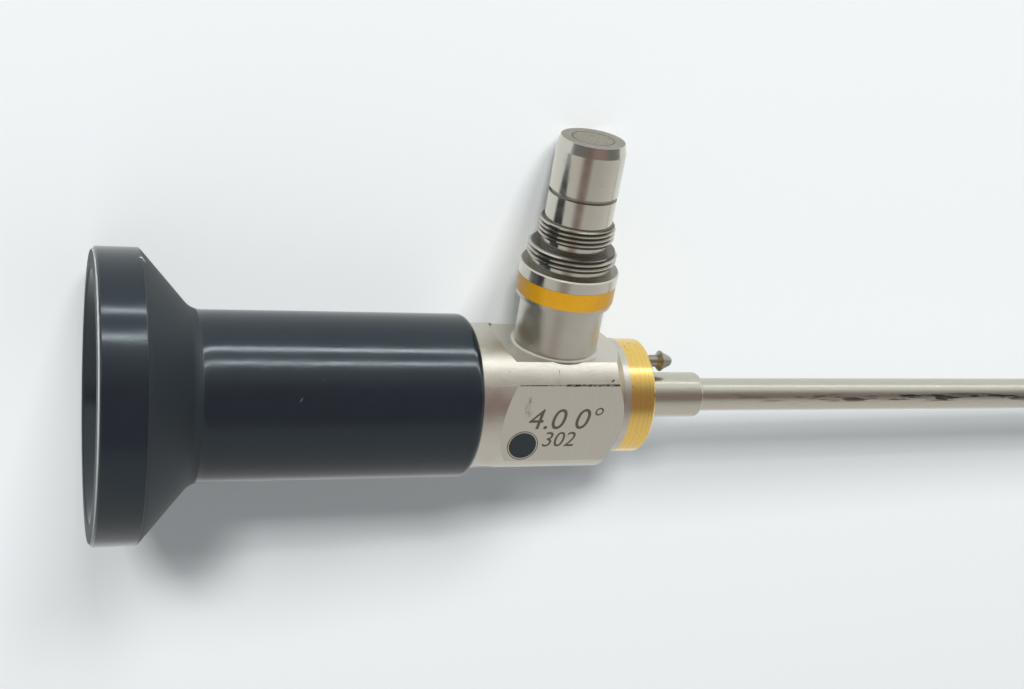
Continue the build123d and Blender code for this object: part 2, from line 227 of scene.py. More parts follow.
def black_plastic():
    material, tree, shader, place = start_finish("turned black plastic")
    parts = add(tree, "ShaderNodeSeparateXYZ", {"Vector": place}).outputs
    turning = add(tree, "ShaderNodeTexNoise", {"W": parts["X"], "Scale": 3.3, "Detail": 4.0},
                  noise_dimensions="1D").outputs["Fac"]
    grit = add(tree, "ShaderNodeTexNoise", {"Vector": place, "Scale": 2.4, "Detail": 5.0}).outputs["Fac"]
    patches = add(tree, "ShaderNodeTexNoise", {
        "Vector": place, "Scale": 0.22, "Detail": 4.0,
    }).outputs["Fac"]
    handled = add(tree, "ShaderNodeMapRange", {
        "Value": patches, "From Min": 0.42, "From Max": 0.62, "To Min": 0.25,
    }).outputs["Result"]
    across = add(tree, "ShaderNodeCombineXYZ", {"Y": parts["Y"], "Z": parts["Z"]}).outputs["Vector"]
    from_axis = add(tree, "ShaderNodeVectorMath", {0: across}, operation="LENGTH").outputs["Value"]
    rim_wear_and_highlight = add(tree, "ShaderNodeMapRange", {
        "Value": from_axis, "From Min": rim_edge[0], "From Max": rim_edge[1],
    }).outputs["Result"]
    in_front = add(tree, "ShaderNodeMapRange", {
        "Value": parts["X"], "From Min": 0.25, "From Max": 0.1,
    }).outputs["Result"]
    scratches = eyecup_wear(tree, place)
    # the rim's front edge is painted pale for its wear and as a painted highlight along the edge
    colour = add(tree, "ShaderNodeMix", {
        "Factor": strongest(tree, [scratches, both(tree, both(tree, rim_wear_and_highlight, in_front), 0.8)]),
        "A": linear("#0c1218"), "B": linear("#b4b8b6"),
    }, data_type="RGBA").outputs[2]
    polish = add(tree, "ShaderNodeMapRange", {
        "Value": patches, "From Min": 0.3, "From Max": 0.7, "To Min": 0.15, "To Max": 0.2,
    }).outputs["Result"]
    on_cone = between(tree, parts["X"], cone_start, cone_end, 0.2)
    rough = add(tree, "ShaderNodeMix", {
        "Factor": strongest(tree, [in_front, on_cone]), "A": polish, "B": 0.55,
    }).outputs[0]
    height = add(tree, "ShaderNodeMath", {
        0: grit, 1: handled, 2: both(tree, turning, 0.3),
    }, operation="MULTIPLY_ADD").outputs[0]
    height = add(tree, "ShaderNodeMath", {0: height, 1: scratches}, operation="SUBTRACT").outputs[0]
    end_finish(tree, shader, colour, rough, height, 0.4, 0.02)
    shader.inputs["IOR"].default_value = 1.5
    shader.inputs["Specular Tint"].default_value = linear("#ecfaff")
    return material


eyecup_finish = black_plastic()
print("finish:", eyecup_finish.name)


# %% [markdown]
# ## Dirt, a stain and painted shade on the body
#
# Use has marked the body: a brown stain at the back of the flat, a short scratch above the flat's
# upper edge, a few dark specks and dirt beside the sleeve. A dark line along the flat's upper edge is
# painted shade, where the flat meets the round body. Dirt stays in dents, so the noise of the blasted
# surface breaks each mark up, and the painted shade too.

# %% The body's marks and painted shade
flat_height = 6.87     # distance of each flat from the axis


def body_dirt_and_shade(tree, place, beads):
    """Dark specks, a scratch, dirt and a line of painted shade along the flat's edge, broken up by the
    dents.
    """
    dirt_and_shade = strongest(tree, [
        # painted shade: a dark line along the flat's upper edge, where the flat meets the round body
        mark(tree, place, (45.9, -6.88, 4.86), (52.0, -6.88, 4.88), 0.2),
        mark(tree, place, (51.5, -6.88, 4.88), (58.1, -6.88, 4.9), 0.42),
        mark(tree, place, (50.72, -5.75, 6.2), (50.62, -6.75, 5.05), 0.13),
        mark(tree, place, (57.1, -6.6, 5.3), (57.3, -6.55, 5.4), 0.34),
        mark(tree, place, (44.65, -5.8, 6.1), (44.75, -5.85, 6.05), 0.3),
        mark(tree, place, (42.8, -5.32, -6.57), (44.5, -5.09, -6.76), 1.5),
    ])
    dirt_and_shade = add(tree, "ShaderNodeMath", {
        0: dirt_and_shade, 1: beads, 2: 0.35,
    }, operation="MULTIPLY_ADD").outputs[0]
    return add(tree, "ShaderNodeMapRange", {
        "Value": dirt_and_shade, "From Min": 0.55, "From Max": 0.95,
    }).outputs["Result"]


def body_stain(tree, place, beads):
    """The brown stain at the back of the marked flat."""
    stain = strongest(tree, [
        mark(tree, place, (47.35, -6.9, 3.2), (47.45, -6.9, 2.7), 0.6, 1.0),
        both(tree, mark(tree, place, (47.2, -6.9, 2.2), (47.5, -6.9, 1.2), 1.0, 1.0), 0.6),
    ])
    return both(tree, stain, add(tree, "ShaderNodeMapRange", {
        "Value": beads, "From Min": 0.4, "From Max": 0.6,
    }).outputs["Result"])


print("flats at", flat_height, "mm from the axis")


# %% [markdown]
# ## Blasted steel
#
# The body and the post's foot are blasted with glass beads, which covers the steel with shallow dents
# of about 0.1 mm, drawn here at 0.3 mm, so highlights spread wide. The flats were ground, and their
# grain runs across. A flat is found by its distance from the axis, so one finish serves both.

# %% The body's finish
def blasted_steel():
    material, tree, shader, place = start_finish("glass-bead blasted steel")
    beads = add(tree, "ShaderNodeTexNoise", {"Vector": place, "Scale": 3.2, "Detail": 3.0}).outputs["Fac"]
    across = add(tree, "ShaderNodeMapping", {
        "Vector": place, "Scale": (3.0, 1.0, 0.25),
    }).outputs["Vector"]
    grinding = add(tree, "ShaderNodeTexNoise", {
        "Vector": across, "Scale": 1.6, "Detail": 4.0,
    }).outputs["Fac"]
    clouds = add(tree, "ShaderNodeTexNoise", {
        "Vector": place, "Scale": 0.45, "Detail": 4.0,
    }).outputs["Fac"]
    parts = add(tree, "ShaderNodeSeparateXYZ", {"Vector": place}).outputs
    out = add(tree, "ShaderNodeMath", {0: parts["Y"]}, operation="ABSOLUTE").outputs[0]
    ground = strongest(tree, [add(tree, "ShaderNodeMath", {
        0: height, 1: flat_height, 2: 0.02,
    }, operation="COMPARE").outputs[0] for height in (out, parts["Z"])])
    grain = add(tree, "ShaderNodeMath", {
        0: grinding, 1: 0.4, 2: 0.6,
    }, operation="MULTIPLY_ADD").outputs[0]
    tone = add(tree, "ShaderNodeMix", {"Factor": ground, "A": clouds, "B": grain}).outputs[0]
    steel = add(tree, "ShaderNodeMix", {
        "Factor": tone, "A": linear("#c0bbb0"), "B": linear("#d8d4ca"),
    }, data_type="RGBA").outputs[2]
    stained = add(tree, "ShaderNodeMix", {
        "Factor": body_stain(tree, place, beads), "A": steel, "B": linear("#7d5546"),
    }, data_type="RGBA").outputs[2]
    # the same dark colour serves the dirt and the painted shade along the flat's edge
    colour = add(tree, "ShaderNodeMix", {
        "Factor": body_dirt_and_shade(tree, place, beads), "A": stained, "B": linear("#26221f"),
    }, data_type="RGBA").outputs[2]
    blasted = add(tree, "ShaderNodeMapRange", {
        "Value": clouds, "From Min": 0.3, "From Max": 0.7, "To Min": 0.32, "To Max": 0.38,
    }).outputs["Result"]
    rough = add(tree, "ShaderNodeMix", {"Factor": ground, "A": blasted, "B": 0.36}).outputs[0]
    height = add(tree, "ShaderNodeMix", {
        "Factor": ground, "A": beads, "B": both(tree, grinding, 0.15),
    }).outputs[0]
    end_finish(tree, shader, colour, rough, height, 0.5, 0.03)
    shader.inputs["Metallic"].default_value = 1.0
    return material


body_finish = blasted_steel()
print("finish:", body_finish.name)


# %% [markdown]
# ## Dirt and painted shade on the post
#
# Cable sockets screwed on and off have left a few dark specks. The threads' roots, the groove and
# the places beside the necks are painted brown-black: painted shade in these recesses, with the dirt
# that sits there. The dark paint is placed by its height on the post and by its distance from the
# post's middle, so it fills the roots and spares the crests.

# %% The post's steps, their dirt and painted shade
collar_top = ring_top + 1.4
threads = {     # foot, top, root radius and crest radius of each threaded step
    "lower": (ring_top + 2.14, ring_top + 3.84, 4.75, 5.07),
    "upper": (ring_top + 4.74, ring_top + 6.94, 4.06, 4.35),
}
groove = (post_top - 6.4, post_top - 5.9, 3.55)     # foot, top and radius
root_dirt_and_shade, groove_dirt_and_shade, neck_dirt_and_shade, speck_dirt = 0.85, 0.4, 0.55, 0.6     # how strong each is: painted shade with dirt in roots, groove and necks, dirt alone in specks


def post_specks_and_shade(tree, place, height, from_post):
    """Dark specks of dirt, and painted shade with dirt in the threads' roots, the groove and beside the
    necks.
    """
    fine = add(tree, "ShaderNodeTexNoise", {"Vector": place, "Scale": 4.0, "Detail": 4.0}).outputs["Fac"]
    grime_and_shade = [both(tree, add(tree, "ShaderNodeMapRange", {
        "Value": fine, "From Min": 0.69, "From Max": 0.74,
    }).outputs["Result"], speck_dirt)]
    # the roots, the groove and the necks are darkened: painted shade in these recesses, with dirt
    roots = [(low, high, root, root_dirt_and_shade) for low, high, root, _ in threads.values()]
    for low, high, root, dirt_and_shade in [*roots, (*groove, groove_dirt_and_shade)]:
        deep = add(tree, "ShaderNodeMapRange", {
            "Value": from_post, "From Min": root + 0.17, "From Max": root + 0.02,
        }).outputs["Result"]
        along = between(tree, height, low - 0.05, high + 0.02, 0.05)
        grime_and_shade.append(both(tree, both(tree, along, deep), dirt_and_shade))
    for foot in (collar_top, threads["lower"][1]):
        grime_and_shade.append(both(tree, between(tree, height, foot + 0.01, foot + 0.35, 0.1), neck_dirt_and_shade))
    return strongest(tree, grime_and_shade)


print("groove from", round(groove[0], 2), "to", round(groove[1], 2), "mm from the axis")


# %% [markdown]
# ## Turned and polished steel
#
# The post's connector, its end sleeve and the stud are turned, then polished, so they mirror the room
# in long streaks. Fine lathe lines run round the post, so their noise changes only with the height.
# Faces square to the post are left as turned, so they are duller and darker, and so is the small
# stud. A thin ring at the edge of the end face and of the collar keeps the pale polished colour: a
# painted highlight for the small chamfer there. Dirt and painted shade lie over all of it and are dull.

# %% The post's finish
highlight_edges = (3.63, 5.7)     # from the post: the end face's edge and the collar's edge, kept pale as a painted highlight


def duller(tree, parts, from_post):
    """One on faces square to the post, apart from thin rings at their edges left pale as a painted
    highlight, and weaker on the stud.
    """
    turned_to = add(tree, "ShaderNodeVectorMath", {
        0: add(tree, "ShaderNodeNewGeometry").outputs["True Normal"], 1: post,
    }, operation="DOT_PRODUCT").outputs["Value"]
    square = add(tree, "ShaderNodeMapRange", {
        "Value": turned_to, "From Min": 0.85, "From Max": 0.95,
    }).outputs["Result"]
    # thin rings at these edges stay pale and polished: a painted highlight for the small chamfers
    edges = strongest(tree, [
        between(tree, from_post, edge - 0.1, edge + 0.1, 0.05) for edge in highlight_edges])
    inside = add(tree, "ShaderNodeMath", {0: 1.0, 1: edges}, operation="SUBTRACT").outputs[0]
    stud = add(tree, "ShaderNodeMath", {
        0: parts["X"], 1: ring_front,
    }, operation="GREATER_THAN").outputs[0]
    return strongest(tree, [both(tree, square, inside), both(tree, stud, 0.7)])


def turned_steel():
    material, tree, shader, place = start_finish("turned and polished steel")
    parts = add(tree, "ShaderNodeSeparateXYZ", {"Vector": place}).outputs
    forward = add(tree, "ShaderNodeMath", {
        0: parts["X"], 1: post_station,
    }, operation="SUBTRACT").outputs[0]
    level = add(tree, "ShaderNodeCombineXYZ", {"X": forward, "Y": parts["Y"]}).outputs["Vector"]
    from_post = add(tree, "ShaderNodeVectorMath", {0: level}, operation="LENGTH").outputs["Value"]
    lines = add(tree, "ShaderNodeTexNoise", {"W": parts["Z"], "Scale": 9.0, "Detail": 3.0},
                noise_dimensions="1D").outputs["Fac"]
    stains = add(tree, "ShaderNodeTexNoise", {
        "Vector": place, "Scale": 0.9, "Detail": 5.0,
    }).outputs["Fac"]
    grime_and_shade = post_specks_and_shade(tree, place, parts["Z"], from_post)
    dull = duller(tree, parts, from_post)
    ends = add(tree, "ShaderNodeMix", {
        "Factor": stains, "A": linear("#8b867b"), "B": linear("#aaa599"),
    }, data_type="RGBA").outputs[2]
    steel = add(tree, "ShaderNodeMix", {
        "Factor": dull, "A": linear("#cfcbc0"), "B": ends,
    }, data_type="RGBA").outputs[2]
    # dirt, and painted shade in the recesses, share this dark brown
    colour = add(tree, "ShaderNodeMix", {
        "Factor": grime_and_shade, "A": steel, "B": linear("#2b2622"),
    }, data_type="RGBA").outputs[2]
    polish = add(tree, "ShaderNodeMapRange", {
        "Value": stains, "From Min": 0.35, "From Max": 0.7, "To Min": 0.13, "To Max": 0.22,
    }).outputs["Result"]
    rough = add(tree, "ShaderNodeMix", {"Factor": dull, "A": polish, "B": 0.4}).outputs[0]
    rough = add(tree, "ShaderNodeMix", {"Factor": grime_and_shade, "A": rough, "B": 0.5}).outputs[0]
    end_finish(tree, shader, colour, rough, lines, 0.1, 0.01)
    shader.inputs["Metallic"].default_value = 1.0
    return material


post_finish = turned_steel()
print("finish:", post_finish.name)


# %% [markdown]
# ## Yellow plastic
#
# The colour ring is a moulded plastic ring with a soft gloss and a slightly cloudy pigment.

# %% The yellow ring's finish
def yellow_plastic():
    material, tree, shader, place = start_finish("moulded yellow plastic")
    clouds = add(tree, "ShaderNodeTexNoise", {
        "Vector": place, "Scale": 0.8, "Detail": 3.0,
    }).outputs["Fac"]
    fine = add(tree, "ShaderNodeTexNoise", {"Vector": place, "Scale": 4.0, "Detail": 3.0}).outputs["Fac"]
    speck = add(tree, "ShaderNodeMapRange", {
        "Value": fine, "From Min": 0.68, "From Max": 0.74,
    }).outputs["Result"]
    pigment = add(tree, "ShaderNodeMix", {
        "Factor": clouds, "A": linear("#a97a0a"), "B": linear("#bb8914"),
    }, data_type="RGBA").outputs[2]
    colour = add(tree, "ShaderNodeMix", {
        "Factor": both(tree, speck, 0.6), "A": pigment, "B": linear("#6b4a10"),
    }, data_type="RGBA").outputs[2]
    rough = add(tree, "ShaderNodeMapRange", {
        "Value": clouds, "To Min": 0.26, "To Max": 0.36,
    }).outputs["Result"]
    tree.links.new(colour, shader.inputs["Base Color"])
    tree.links.new(rough, shader.inputs["Roughness"])
    shader.inputs["IOR"].default_value = 1.5
    return material


ring_finish = yellow_plastic()
print("finish:", ring_finish.name)


# %% [markdown]
# ## Satin gold plate
#
# The index ring is brushed round its axis before it is plated, so the brushing shows as fine rings
# about 0.2 mm apart. Handling has left a few brown specks.

# %% The index ring's finish
def gold_plate():
    material, tree, shader, place = start_finish("satin gold plate")
    along = add(tree, "ShaderNodeSeparateXYZ", {"Vector": place}).outputs["X"]
    lines = add(tree, "ShaderNodeTexNoise", {"W": along, "Scale": 4.5, "Detail": 4.0},
                noise_dimensions="1D").outputs["Fac"]
    fine = add(tree, "ShaderNodeTexNoise", {"Vector": place, "Scale": 2.6, "Detail": 4.0}).outputs["Fac"]
    specks = add(tree, "ShaderNodeMapRange", {
        "Value": fine, "From Min": 0.66, "From Max": 0.73,
    }).outputs["Result"]
    gold = add(tree, "ShaderNodeMix", {
        "Factor": lines, "A": linear("#e6bd5e"), "B": linear("#f8d886"),
    }, data_type="RGBA").outputs[2]
    colour = add(tree, "ShaderNodeMix", {
        "Factor": both(tree, specks, 0.55), "A": gold, "B": linear("#6b4620"),
    }, data_type="RGBA").outputs[2]
    rough = add(tree, "ShaderNodeMapRange", {
        "Value": fine, "To Min": 0.13, "To Max": 0.2,
    }).outputs["Result"]
    end_finish(tree, shader, colour, rough, lines, 0.15, 0.02)
    shader.inputs["Metallic"].default_value = 1.0
    return material


gold_finish = gold_plate()
print("finish:", gold_finish.name)


# %% [markdown]
# ## Drawn steel tube
#
# The tube is drawn and polished lengthways, and the hub is brushed the same way. Sheaths that slid
# over the tube have left dark smears on the side that carries the marks: long, ragged streaks.

# %% The tube's finish
def tube_steel():
    material, tree, shader, place = start_finish("drawn steel tube")
    parts = add(tree, "ShaderNodeSeparateXYZ", {"Vector": place}).outputs
    stretched = add(tree, "ShaderNodeMapping", {
        "Vector": place, "Scale": (0.12, 1.5, 1.5),
    }).outputs["Vector"]
    lines = add(tree, "ShaderNodeTexNoise", {
        "Vector": stretched, "Scale": 4.0, "Detail": 4.0,
    }).outputs["Fac"]
    streaks = add(tree, "ShaderNodeMapping", {
        "Vector": place, "Scale": (0.22, 2.2, 2.2),
    }).outputs["Vector"]
    ragged = add(tree, "ShaderNodeTexNoise", {
        "Vector": streaks, "Scale": 1.1, "Detail": 6.0, "Roughness": 0.65, "Distortion": 0.4,
    }).outputs["Fac"]
    smear = add(tree, "ShaderNodeMapRange", {
        "Value": ragged, "From Min": 0.52, "From Max": 0.6,
    }).outputs["Result"]
    marked_side = add(tree, "ShaderNodeMath", {0: parts["Y"], 1: 0.0}, operation="LESS_THAN").outputs[0]
    rubbed = add(tree, "ShaderNodeMapRange", {
        "Value": parts["X"], "From Min": 72.0, "From Max": 95.0,
    }).outputs["Result"]
    smear = both(tree, smear, both(tree, marked_side, between(tree, parts["Z"], -0.15, 1.1, 0.3)))
    smear = both(tree, smear, rubbed)
    steel = add(tree, "ShaderNodeMix", {
        "Factor": lines, "A": linear("#bdb9ac"), "B": linear("#d0ccbf"),
    }, data_type="RGBA").outputs[2]
    colour = add(tree, "ShaderNodeMix", {
        "Factor": both(tree, smear, 0.85), "A": steel, "B": linear("#23211f"),
    }, data_type="RGBA").outputs[2]
    rough = add(tree, "ShaderNodeMapRange", {
        "Value": lines, "To Min": 0.2, "To Max": 0.28,
    }).outputs["Result"]
    end_finish(tree, shader, colour, rough, lines, 0.15, 0.01)
    shader.inputs["Metallic"].default_value = 1.0
    return material


tube_finish = tube_steel()
print("finish:", tube_finish.name)


# %% [markdown]
# ## Ground glass fibres
#
# The post's end face shows the ends of thousands of glass fibres, set in resin and ground flat. A
# fibre is about 0.05 mm thick. The dots are drawn 0.15 mm apart so that they show at all. A dark
# ring round the bundle is painted shade of the narrow gap between the fibres and the sleeve.

# %% The fibre face's finish
gap_shade_line = (2.2, 2.3)     # from the post: the painted shade of the gap fades in between


def fibre_face():
    material, tree, shader, place = start_finish("ground glass fibres")
    dots = add(tree, "ShaderNodeTexVoronoi", {"Vector": place, "Scale": 6.5}).outputs["Distance"]
    core = add(tree, "ShaderNodeMapRange", {
        "Value": dots, "From Min": 0.5, "From Max": 0.2,
    }).outputs["Result"]
    bundle = add(tree, "ShaderNodeMix", {
        "Factor": core, "A": linear("#55503f"), "B": linear("#8a8370"),
    }, data_type="RGBA").outputs[2]
    off_centre = add(tree, "ShaderNodeVectorMath", {
        0: place, 1: (-post_station, 0, 0),
    }, operation="ADD").outputs["Vector"]
    level = add(tree, "ShaderNodeVectorMath", {
        0: off_centre, 1: (1, 1, 0),
    }, operation="MULTIPLY").outputs["Vector"]
    out = add(tree, "ShaderNodeVectorMath", {0: level}, operation="LENGTH").outputs["Value"]
    gap_shade = add(tree, "ShaderNodeMapRange", {
        "Value": out, "From Min": gap_shade_line[0], "From Max": gap_shade_line[1],
    }).outputs["Result"]
    # a dark ring round the bundle: painted shade of the gap between the fibres and the sleeve
    colour = add(tree, "ShaderNodeMix", {
        "Factor": gap_shade, "A": bundle, "B": linear("#2a2621"),
    }, data_type="RGBA").outputs[2]
    tree.links.new(colour, shader.inputs["Base Color"])
    shader.inputs["Roughness"].default_value = 0.35
    shader.inputs["IOR"].default_value = 1.52
    return material


fibre_finish = fibre_face()
print("finish:", fibre_finish.name)


# %% [markdown]
# ## Inner pieces and glass
#
# The pieces inside are seen only when the model is opened. Turned ones carry lathe lines round the
# axis, half a millimetre apart, and all are slightly cloudy. Lenses and windows are clear glass with
# an IOR of 1.52, a purple anti-reflection coat and a faint haze left by cleaning.

# %% Inner finishes and glass
def small_finish(name, dark, light, roughness, metallic, direction="X"):
    """A plain finish with lathe lines and clouds between two colours."""
    material, tree, shader, place = start_finish(name)
    along = add(tree, "ShaderNodeSeparateXYZ", {"Vector": place}).outputs[direction]
    lines = add(tree, "ShaderNodeTexNoise", {"W": along, "Scale": 2.0, "Detail": 4.0},
                noise_dimensions="1D").outputs["Fac"]
    clouds = add(tree, "ShaderNodeTexNoise", {
        "Vector": place, "Scale": 1.5, "Detail": 4.0,
    }).outputs["Fac"]
    colour = add(tree, "ShaderNodeMix", {
        "Factor": clouds, "A": linear(dark), "B": linear(light),
    }, data_type="RGBA").outputs[2]
    rough = add(tree, "ShaderNodeMapRange", {
        "Value": clouds, "To Min": roughness * 0.7, "To Max": roughness * 1.3,
    }).outputs["Result"]
    end_finish(tree, shader, colour, rough, lines, 0.2, 0.02)
    shader.inputs["Metallic"].default_value = metallic
    return material


def clear_glass():
    material, tree, shader, place = start_finish("coated optical glass")
    clouds = add(tree, "ShaderNodeTexNoise", {
        "Vector": place, "Scale": 0.7, "Detail": 3.0,
    }).outputs["Fac"]
    haze = add(tree, "ShaderNodeMapRange", {
        "Value": clouds, "From Min": 0.45, "From Max": 0.75, "To Max": 0.06,
    }).outputs["Result"]
    tint = add(tree, "ShaderNodeMix", {
        "Factor": clouds, "A": linear("#eef5f2"), "B": linear("#f6faf8"),
    }, data_type="RGBA").outputs[2]
    tree.links.new(tint, shader.inputs["Base Color"])
    tree.links.new(haze, shader.inputs["Roughness"])
    shader.inputs["Transmission Weight"].default_value = 1.0
    shader.inputs["IOR"].default_value = 1.52
    shader.inputs["Specular Tint"].default_value = linear("#b9a6f2")
    return material


inner_finish = small_finish("plain turned steel", "#aaa69c", "#c2beb4", 0.35, 1.0)
black_finish = small_finish("black anodised aluminium", "#101112", "#191a1c", 0.4, 0.0)
seal_finish = small_finish("seal rubber", "#141414", "#1c1c1c", 0.6, 0.0)
glass_finish = clear_glass()
print("inner finishes:", *(f.name for f in (inner_finish, black_finish, seal_finish, glass_finish)))

# %% [markdown]
# ## Every CAD piece gets its finish
#
# The CAD model's record names a material slot for each piece. One loop replaces the plain colour of
# each piece by the finish of its slot, so no piece is left out.

# %% Hand out the finishes
finishes = {
    "black_plastic": eyecup_finish, "blasted_steel": body_finish, "turned_steel": post_finish,
    "yellow_plastic": ring_finish, "gold_plate": gold_finish, "tube_steel": tube_finish,
    "fibre_face": fibre_finish, "window_glass": glass_finish, "lens_glass": glass_finish,
    "black_metal": black_finish, "inner_steel": inner_finish, "seal_rubber": seal_finish,
}
for subpart in frame["record"]["subparts"]:
    piece = nodes[subpart["node"]]
    piece.data.materials.clear()
    piece.data.materials.append(finishes[subpart["material_slot"]])


# %% [markdown]
# ## Threads on the post
#
# The CAD model has the two threaded steps at their root diameter. A thread's crest is one ridge that
# climbs round the post, so it is made as a lathe makes it: a small profile turns about the post and
# climbs by one pitch each turn. At both ends the ridge sinks into the step, as a cutter runs out.

# %% Spin a ridge round each threaded step
def seat(piece):
    """Let a new piece, which already has its finish, ride with the telescope."""
    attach(piece, "root")
    return piece


def new_piece(name, mesh, material):
    """An object from a bmesh whose place is already in its mesh."""
    bmesh.ops.recalc_face_normals(mesh, faces=mesh.faces)
    data = bpy.data.meshes.new(name)
    mesh.to_mesh(data)
    mesh.free()
    data.materials.append(material)
    piece = bpy.data.objects.new(name, data)
    bpy.context.scene.collection.objects.link(piece)
    return piece


post_place = telescope @ Matrix.Translation((post_station * mm, 0, 0))
steps_per_turn = 72
sunk = 0.03         # how far the ridge's foot lies inside the step
run_out = 0.2       # turns over which each end of the ridge grows


def thread(name, low, high, root, crest, pitch):
    """A helical ridge between two heights of the post, from its root to its crest radius."""
    foot, top = 0.42 * pitch, 0.1 * pitch     # half the ridge's width at its foot and at its crest
    start = low + top
    turns = (high - low - 2 * top) / pitch
    steps = round(steps_per_turn * turns)
    mesh = bmesh.new()
    outline = [(root - sunk, start - foot), (crest, start - top),
               (crest, start + top), (root - sunk, start + foot)]
    profile = mesh.faces.new([mesh.verts.new((out, 0, height)) for out, height in outline])
    bmesh.ops.spin(mesh, geom=[profile, *profile.edges, *profile.verts], cent=(0, 0, 0), axis=(0, 0, 1),
                   dvec=(0, 0, turns * pitch / steps), angle=turns * math.tau, steps=steps)
    for vertex in mesh.verts:
        turned = (vertex.co.z - start) / pitch
        shown = min(1, max(0, turned) / run_out, max(0, turns - turned) / run_out)
        out = vertex.co.xy.length
        if out > root:
            vertex.co.xy *= (root - sunk + (out - root + sunk) * shown) / out
        vertex.co.z = min(high, max(low, vertex.co.z))
    bmesh.ops.transform(mesh, matrix=post_place @ Matrix.Scale(mm, 4), verts=mesh.verts)
    return seat(new_piece(name, mesh, post_finish))


lower_pitch, upper_pitch = 0.56, 0.53
lower_thread = thread("lower_thread", *threads["lower"], lower_pitch)
upper_thread = thread("upper_thread", *threads["upper"], upper_pitch)
print("thread faces:", len(lower_thread.data.polygons), len(upper_thread.data.polygons))


# %% [markdown]
# ## Marks on the flat
#
# The flat carries what every such telescope needs to tell, as plain numbers: the diameter of its tube
# (4.0 mm), the angle of its view (0°) and its working length (302 mm), beside a black enamel dot in a
# thin ring. The numbers are etched, so they are thin sheets that stand a hundredth of a millimetre
# proud. Text is made a mesh before it is put in place.

# %% Etch the numbers
etched_finish = small_finish("etched steel", "#3d3832", "#5a544b", 0.5, 0.3, "Z")
proud = 0.01
slant = 0.2
upright = Euler((math.radians(90), 0, 0)).to_matrix().to_4x4()
on_flat = telescope @ Matrix.Translation((0, -flat_height * mm, 0)) @ upright


def number(name, words, size, along, up):
    """A plain number on the flat: its lower left corner along the axis and up the post."""
    letters = bpy.data.curves.new(name, "FONT")
    letters.body = words
    letters.size = size * mm
    letters.shear = slant
    letters.extrude = proud * mm
    shape = bpy.data.objects.new(name + "_curve", letters)
    data = bpy.data.meshes.new_from_object(shape)
    data.transform(on_flat @ Matrix.Translation((along * mm, up * mm, 0)))
    bpy.data.objects.remove(shape)
    data.materials.clear()
    data.materials.append(etched_finish)
    piece = bpy.data.objects.new(name, data)
    bpy.context.scene.collection.objects.link(piece)
    return seat(piece)


tube_size = number("tube_size_and_view_angle", "4.0 0°", 3.75, 47.5, -0.75)
working_length = number("working_length", "302", 2.75, 49.6, -3.05)
for piece in (tube_size, working_length):
    wide = [(vertex.co - face).dot(axis) / mm for vertex in piece.data.vertices]
    print(piece.name, "from", round(min(wide), 2), "to", round(max(wide), 2))

# %% [markdown]
# ## Black dot in a thin ring
#
# The dot is black enamel, a few hundredths of a millimetre thick, so it is a very flat cone that is
# a little narrower at its top. The ring round it is etched like the numbers. A small rectangle spun
# once about the dot's middle gives the ring, and use_merge joins the last step to the first.

# %% Lay the dot and its ring
dot_along, dot_up = 47.45, -2.9     # its middle, along the axis and up the post
dot_foot, dot_top, dot_depth = 1.66, 1.62, 0.04     # two radii and a thickness
ring_inner, ring_outer = 1.76, 1.86
ring_low, ring_high = -0.02, 0.01
dot_finish = small_finish("black enamel", "#0f1519", "#161d22", 0.25, 0.0, "Z")
dot_place = on_flat @ Matrix.Translation((dot_along * mm, dot_up * mm, proud * mm)) @ Matrix.Scale(mm, 4)
mesh = bmesh.new()
bmesh.ops.create_cone(mesh, cap_ends=True, segments=64, radius1=dot_foot, radius2=dot_top, depth=dot_depth)
bmesh.ops.transform(mesh, matrix=dot_place, verts=mesh.verts)
dot = seat(new_piece("enamel_dot", mesh, dot_finish))

mesh = bmesh.new()
outline = mesh.faces.new([mesh.verts.new((out, 0, up)) for out, up in (
    (ring_inner, ring_low), (ring_outer, ring_low), (ring_outer, ring_high), (ring_inner, ring_high))])
bmesh.ops.spin(mesh, geom=[outline, *outline.edges, *outline.verts], cent=(0, 0, 0), axis=(0, 0, 1),
               angle=math.tau, steps=96, use_merge=True)
bmesh.ops.transform(mesh, matrix=dot_place, verts=mesh.verts)
dot_ring = seat(new_piece("dot_ring", mesh, etched_finish))
print("dot and ring:", dot.name, dot_ring.name)

# %% [markdown]
# ## Floor
#
# The table is plain, pale and dull, and a disc is enough for it. It reaches far past what the camera
# sees, so that no edge shows there.

# %% Lay the floor
floor_radius = 3.0     # metres
mesh = bmesh.new()
bmesh.ops.create_circle(mesh, cap_ends=True, radius=floor_radius, segments=96)
table_finish = bpy.data.materials.new("pale table")
table_finish.use_nodes = True
table_shader = table_finish.node_tree.nodes["Principled BSDF"]
table_shader.inputs["Base Color"].default_value = linear("#f8fcfd")
table_shader.inputs["Roughness"].default_value = 0.9
floor = new_piece("floor", mesh, table_finish)
print("floor:", floor.dimensions)

# %% [markdown]
# ## Camera
#
# A pinhole camera was fitted to the photograph's outlines. Its place and turn are given in the
# telescope's own frame, in millimetres and degrees. The lens is given for a sensor 36 mm wide.

# %% Place the camera
focal_length = 49.87
camera_place = Vector((-8.07, -138.53, 75.11)) * mm
camera_turn = Euler([math.radians(v) for v in (64.975, -9.029, -17.401)])
camera = bpy.data.objects.new("camera", bpy.data.cameras.new("camera"))
bpy.context.scene.collection.objects.link(camera)
camera.matrix_world = telescope @ Matrix.LocRotScale(camera_place, camera_turn, None)
camera.data.lens = focal_length
camera.data.clip_start = 1 * mm
bpy.context.scene.camera = camera
print("camera at", [round(v / mm) for v in camera.matrix_world.translation])


